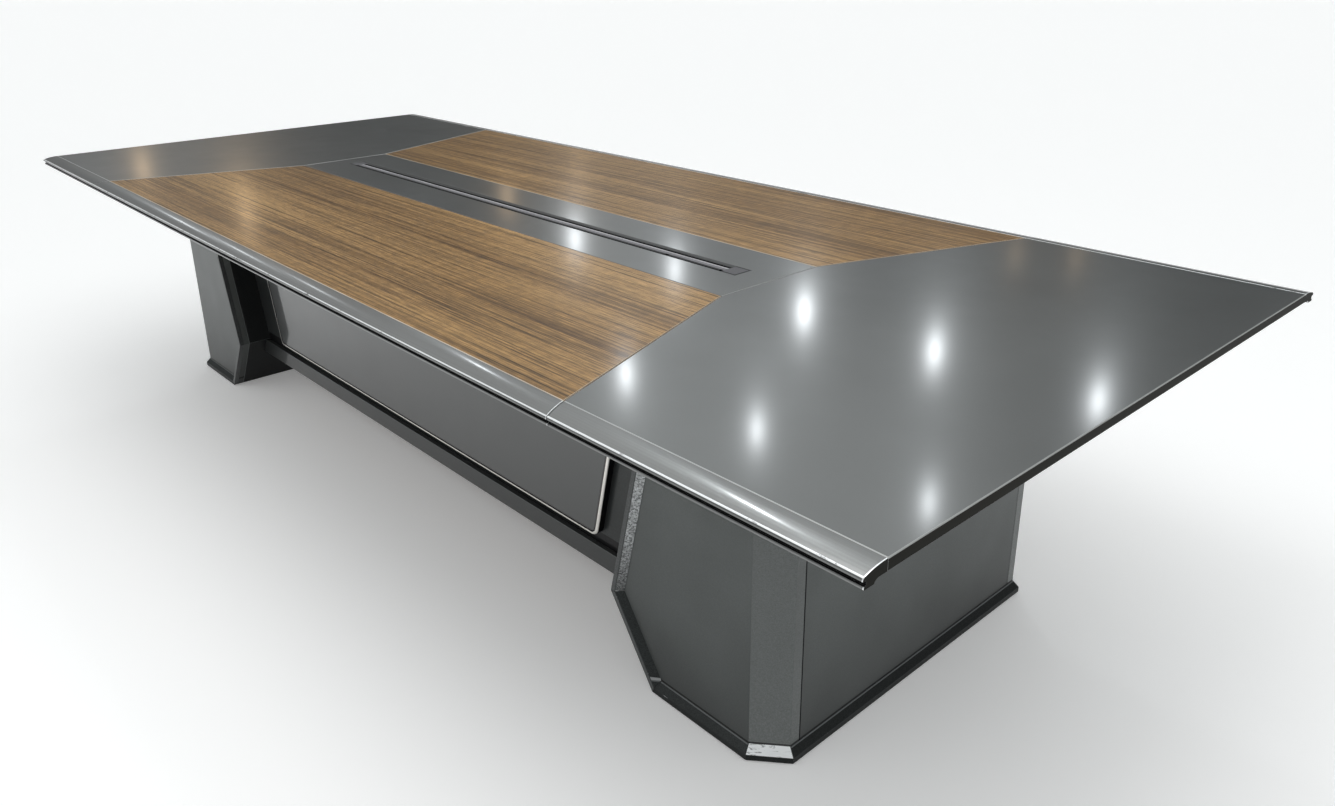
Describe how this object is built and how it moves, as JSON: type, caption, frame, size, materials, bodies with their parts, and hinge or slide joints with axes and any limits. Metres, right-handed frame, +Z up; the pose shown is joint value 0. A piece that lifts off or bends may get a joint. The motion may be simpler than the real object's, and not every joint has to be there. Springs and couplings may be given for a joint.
{
  "type": "conference table",
  "caption": "Long rectangular meeting table with moulded long edges, veneer inlays and a lidded cable slot, on kneed pedestals joined by a boxed bridge.",
  "frame": {"origin": "on the floor, under the middle of the table", "axes": "+X along the table's length, +Y across it to the side away from the lid hinges, +Z up"},
  "size_m": [3.6, 1.5, 0.75],
  "materials": {
    "grey_lacquer": "satin metallic lacquer",
    "walnut_veneer": "clear satin lacquer",
    "black_anodised": "satin anodised",
    "champagne_trim": "satin anodised",
    "bright_steel": "zinc plated",
    "raw_board": "raw fibreboard",
    "nylon_glide": "matt",
    "nylon_bristle": "matt"
  },
  "bodies": {
    "table": {"bridge_battens": "raw_board", "bridge_board_back": "grey_lacquer", "bridge_board_front": "grey_lacquer", "bridge_floor": "raw_board", "bridge_rail_back": "grey_lacquer", "bridge_rail_front": "grey_lacquer", "bridge_raised_panel_back": "grey_lacquer", "bridge_raised_panel_front": "grey_lacquer", "bridge_ribs": "raw_board", "bridge_trim_back": "champagne_trim", "bridge_trim_front": "champagne_trim", "edge_moulding_back_centre": "grey_lacquer", "edge_moulding_back_left": "grey_lacquer", "edge_moulding_back_right": "grey_lacquer", "edge_moulding_front_centre": "grey_lacquer", "edge_moulding_front_left": "grey_lacquer", "edge_moulding_front_right": "grey_lacquer", "joint_tie_plates": "bright_steel", "left_pedestal_base_board": "raw_board", "left_pedestal_corner_posts": "grey_lacquer", "left_pedestal_end_panel": "grey_lacquer", "left_pedestal_glides": "nylon_glide", "left_pedestal_inner_lower": "grey_lacquer", "left_pedestal_inner_upper": "grey_lacquer", "left_pedestal_rim_back": "grey_lacquer", "left_pedestal_rim_front": "grey_lacquer", "left_pedestal_side_back": "grey_lacquer", "left_pedestal_side_front": "grey_lacquer", "left_pedestal_skirting": "grey_lacquer", "left_pedestal_top_board": "raw_board", "lid_hinge_rod": "bright_steel", "right_pedestal_base_board": "raw_board", "right_pedestal_corner_posts": "grey_lacquer", "right_pedestal_end_panel": "grey_lacquer", "right_pedestal_glides": "nylon_glide", "right_pedestal_inner_lower": "grey_lacquer", "right_pedestal_inner_upper": "grey_lacquer", "right_pedestal_rim_back": "grey_lacquer", "right_pedestal_rim_front": "grey_lacquer", "right_pedestal_side_back": "grey_lacquer", "right_pedestal_side_front": "grey_lacquer", "right_pedestal_skirting": "grey_lacquer", "right_pedestal_top_board": "raw_board", "slot_brush": "nylon_bristle", "slot_end_plate_left": "black_anodised", "slot_end_plate_right": "black_anodised", "slot_rail_back": "black_anodised", "slot_rail_front": "black_anodised", "top_centre_strip": "grey_lacquer", "top_end_panel_left": "grey_lacquer", "top_end_panel_right": "grey_lacquer", "top_veneer_back": "walnut_veneer", "top_veneer_front": "walnut_veneer", "trough_floor": "raw_board", "trough_sides": "raw_board"},
    "lid_1": {"slot_lid_1": "black_anodised"},
    "lid_2": {"slot_lid_2": "black_anodised"},
    "lid_3": {"slot_lid_3": "black_anodised"},
    "lid_4": {"slot_lid_4": "black_anodised"}
  },
  "joints": [
    {"name": "lid_1_hinge", "type": "hinge", "parent": "table", "child": "lid_1", "pos_m": [0, -0.021, 0.7465], "axis": [1, 0, 0], "range_deg": [0, 95]},
    {"name": "lid_2_hinge", "type": "hinge", "parent": "table", "child": "lid_2", "pos_m": [0, -0.021, 0.7465], "axis": [1, 0, 0], "range_deg": [0, 95]},
    {"name": "lid_3_hinge", "type": "hinge", "parent": "table", "child": "lid_3", "pos_m": [0, -0.021, 0.7465], "axis": [1, 0, 0], "range_deg": [0, 95]},
    {"name": "lid_4_hinge", "type": "hinge", "parent": "table", "child": "lid_4", "pos_m": [0, -0.021, 0.7465], "axis": [1, 0, 0], "range_deg": [0, 95]}
  ]
}
